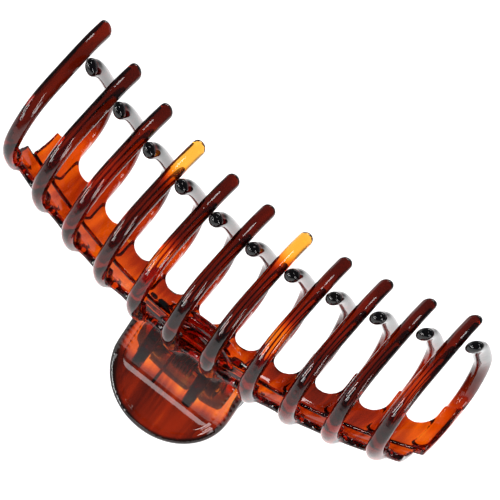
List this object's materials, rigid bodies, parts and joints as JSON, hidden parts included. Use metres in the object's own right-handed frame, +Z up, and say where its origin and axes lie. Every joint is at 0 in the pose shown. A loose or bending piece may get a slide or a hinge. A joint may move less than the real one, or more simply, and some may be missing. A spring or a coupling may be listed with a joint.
{
  "type": "claw clip",
  "caption": "Large arched hair claw clip: two interleaving toothed jaws in tortoiseshell plastic, sprung shut on a hinge pin between D-shaped thumb handles.",
  "frame": {"origin": "on the ground plane under the middle of the clip, standing on the lower edges of its handles", "axes": "+X along the hinge and the clip's length, +Z up from the handles to the tooth tips, -Y towards the front jaw's side"},
  "size_m": [0.1304, 0.0398, 0.0803],
  "materials": {
    "tortoiseshell": "gloss",
    "pin_steel": "satin",
    "spring_steel": "satin"
  },
  "bodies": {
    "root": {"front_jaw": "tortoiseshell", "hinge_pin": "pin_steel", "torsion_spring": "spring_steel"},
    "back_jaw_body": {"back_jaw": "tortoiseshell"}
  },
  "joints": [
    {"name": "jaw_hinge", "type": "hinge", "parent": "root", "child": "back_jaw_body", "pos_m": [0, 0, 0.01641], "axis": [-1, 0, 0], "range_deg": [0, 70], "stiffness_Nm_per_rad": 0.12, "springref_deg": -68.75, "deforming": ["torsion_spring"]}
  ]
}
